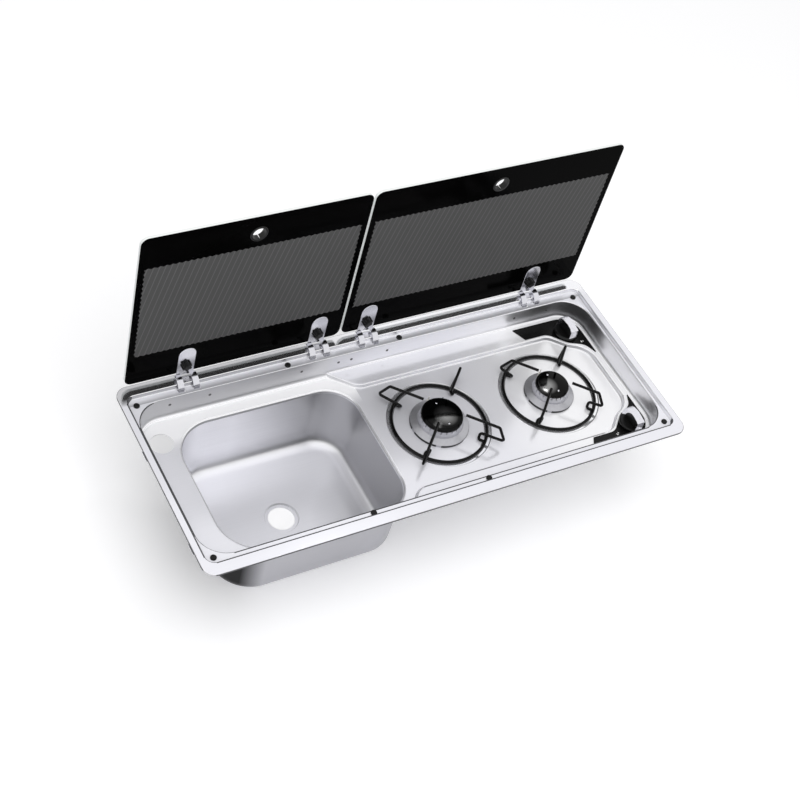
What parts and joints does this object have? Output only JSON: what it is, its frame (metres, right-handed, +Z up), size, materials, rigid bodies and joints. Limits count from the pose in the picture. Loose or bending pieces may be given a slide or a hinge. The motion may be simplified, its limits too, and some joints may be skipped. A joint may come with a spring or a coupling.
{
  "type": "hob and sink combination unit",
  "caption": "Inset stainless steel kitchen unit: a sink bowl and a gas hob share a pressed well under hinged black glass lids, with lift-off pan supports and push-and-turn knobs.",
  "frame": {"origin": "centre of the worktop cut-out, on the plane of the worktop's top face that the rim's seal lies on", "axes": "+X along the unit to the right (hob side), +Y to the back (lid hinges), +Z up"},
  "size_m": [0.9, 0.3842, 0.5199],
  "materials": {
    "pan_steel": "satin",
    "bowl_steel": "satin",
    "seal_foam": "matte",
    "clip_steel": "satin",
    "zinc_screw": "satin",
    "hinge_steel": "satin",
    "pin_steel": "polished",
    "rivet": "satin",
    "bumper_rubber": "matte",
    "pipe": "satin",
    "brass_fitting": "satin",
    "lid_glass": "polished",
    "black_plastic": "satin",
    "arm_steel": "satin",
    "pad_rubber": "matte",
    "nut_plastic": "matte",
    "screw_steel": "polished",
    "burner_alloy": "cast",
    "cup_alloy": "satin",
    "crown_alloy": "satin",
    "cap_enamel": "gloss enamel",
    "ceramic": "glazed",
    "sensor_steel": "satin",
    "support_enamel": "satin enamel",
    "fascia_black": "gloss",
    "valve_alloy": "cast",
    "bush_brass": "satin",
    "spindle_steel": "turned",
    "knob_silver": "satin",
    "knob_black": "satin"
  },
  "bodies": {
    "unit": {"burner_base_left": "burner_alloy", "burner_base_right": "burner_alloy", "burner_cap_left": "cap_enamel", "burner_cap_right": "cap_enamel", "burner_crown_left": "crown_alloy", "burner_crown_right": "crown_alloy", "burner_cup_left": "cup_alloy", "burner_cup_right": "cup_alloy", "cap_studs_left": "screw_steel", "cap_studs_right": "screw_steel", "clip_screws": "zinc_screw", "fascia_back": "fascia_black", "fascia_front": "fascia_black", "feed_pipe_left": "pipe", "feed_pipe_right": "pipe", "fixing_clips": "clip_steel", "flame_sensor_left": "sensor_steel", "flame_sensor_right": "sensor_steel", "gas_rail": "pipe", "gas_valve_back": "valve_alloy", "gas_valve_front": "valve_alloy", "hinge_brackets": "hinge_steel", "hinge_pins": "pin_steel", "hinge_rivets": "rivet", "injector_left": "brass_fitting", "injector_right": "brass_fitting", "inlet_nut": "brass_fitting", "lid_bumpers": "bumper_rubber", "rim_gasket": "seal_foam", "sink_bowl": "bowl_steel", "spark_plug_left": "ceramic", "spark_plug_right": "ceramic", "top_pan": "pan_steel"},
    "left_lid": {"lid_glass_left": "lid_glass", "finger_ring_left": "black_plastic", "hinge_arms_left": "arm_steel", "hinge_pads_left": "pad_rubber", "hinge_nuts_left": "nut_plastic", "hinge_screws_left": "screw_steel"},
    "left_support": {"support_ring_left": "support_enamel", "support_arms_left": "support_enamel"},
    "right_lid": {"lid_glass_right": "lid_glass", "finger_ring_right": "black_plastic", "hinge_arms_right": "arm_steel", "hinge_pads_right": "pad_rubber", "hinge_nuts_right": "nut_plastic", "hinge_screws_right": "screw_steel"},
    "right_support": {"support_ring_right": "support_enamel", "support_arms_right": "support_enamel"},
    "back_push": {"push_bush_back": "bush_brass"},
    "back_knob": {"knob_back": "knob_black", "knob_trim_back": "knob_silver", "spindle_back": "spindle_steel"},
    "front_push": {"push_bush_front": "bush_brass"},
    "front_knob": {"knob_front": "knob_black", "knob_trim_front": "knob_silver", "spindle_front": "spindle_steel"}
  },
  "joints": [
    {"name": "left_lid_hinge", "type": "hinge", "parent": "unit", "child": "left_lid", "pos_m": [0, 0.17765, -0.00855], "axis": [-1, 0, 0], "range_deg": [-90, 0]},
    {"name": "right_lid_hinge", "type": "hinge", "parent": "unit", "child": "right_lid", "pos_m": [0, 0.17765, -0.00855], "axis": [-1, 0, 0], "range_deg": [-90, 0]},
    {"name": "back_push_in", "type": "slide", "parent": "unit", "child": "back_push", "axis": [0, 0, -1], "range_m": [0, 0.004], "stiffness_N_per_m": 1500, "springref_m": -0.002},
    {"name": "back_knob_turn", "type": "hinge", "parent": "back_push", "child": "back_knob", "pos_m": [0.3895, 0.105, -0.037], "axis": [0, 0, 1], "range_deg": [0, 210]},
    {"name": "front_push_in", "type": "slide", "parent": "unit", "child": "front_push", "axis": [0, 0, -1], "range_m": [0, 0.004], "stiffness_N_per_m": 1500, "springref_m": -0.002},
    {"name": "front_knob_turn", "type": "hinge", "parent": "front_push", "child": "front_knob", "pos_m": [0.3895, -0.118, -0.037], "axis": [0, 0, 1], "range_deg": [0, 210]},
    {"name": "left_support_lift", "type": "slide", "parent": "unit", "child": "left_support", "axis": [0, 0, 1], "range_m": [0, 0.06]},
    {"name": "right_support_lift", "type": "slide", "parent": "unit", "child": "right_support", "axis": [0, 0, 1], "range_m": [0, 0.06]}
  ]
}
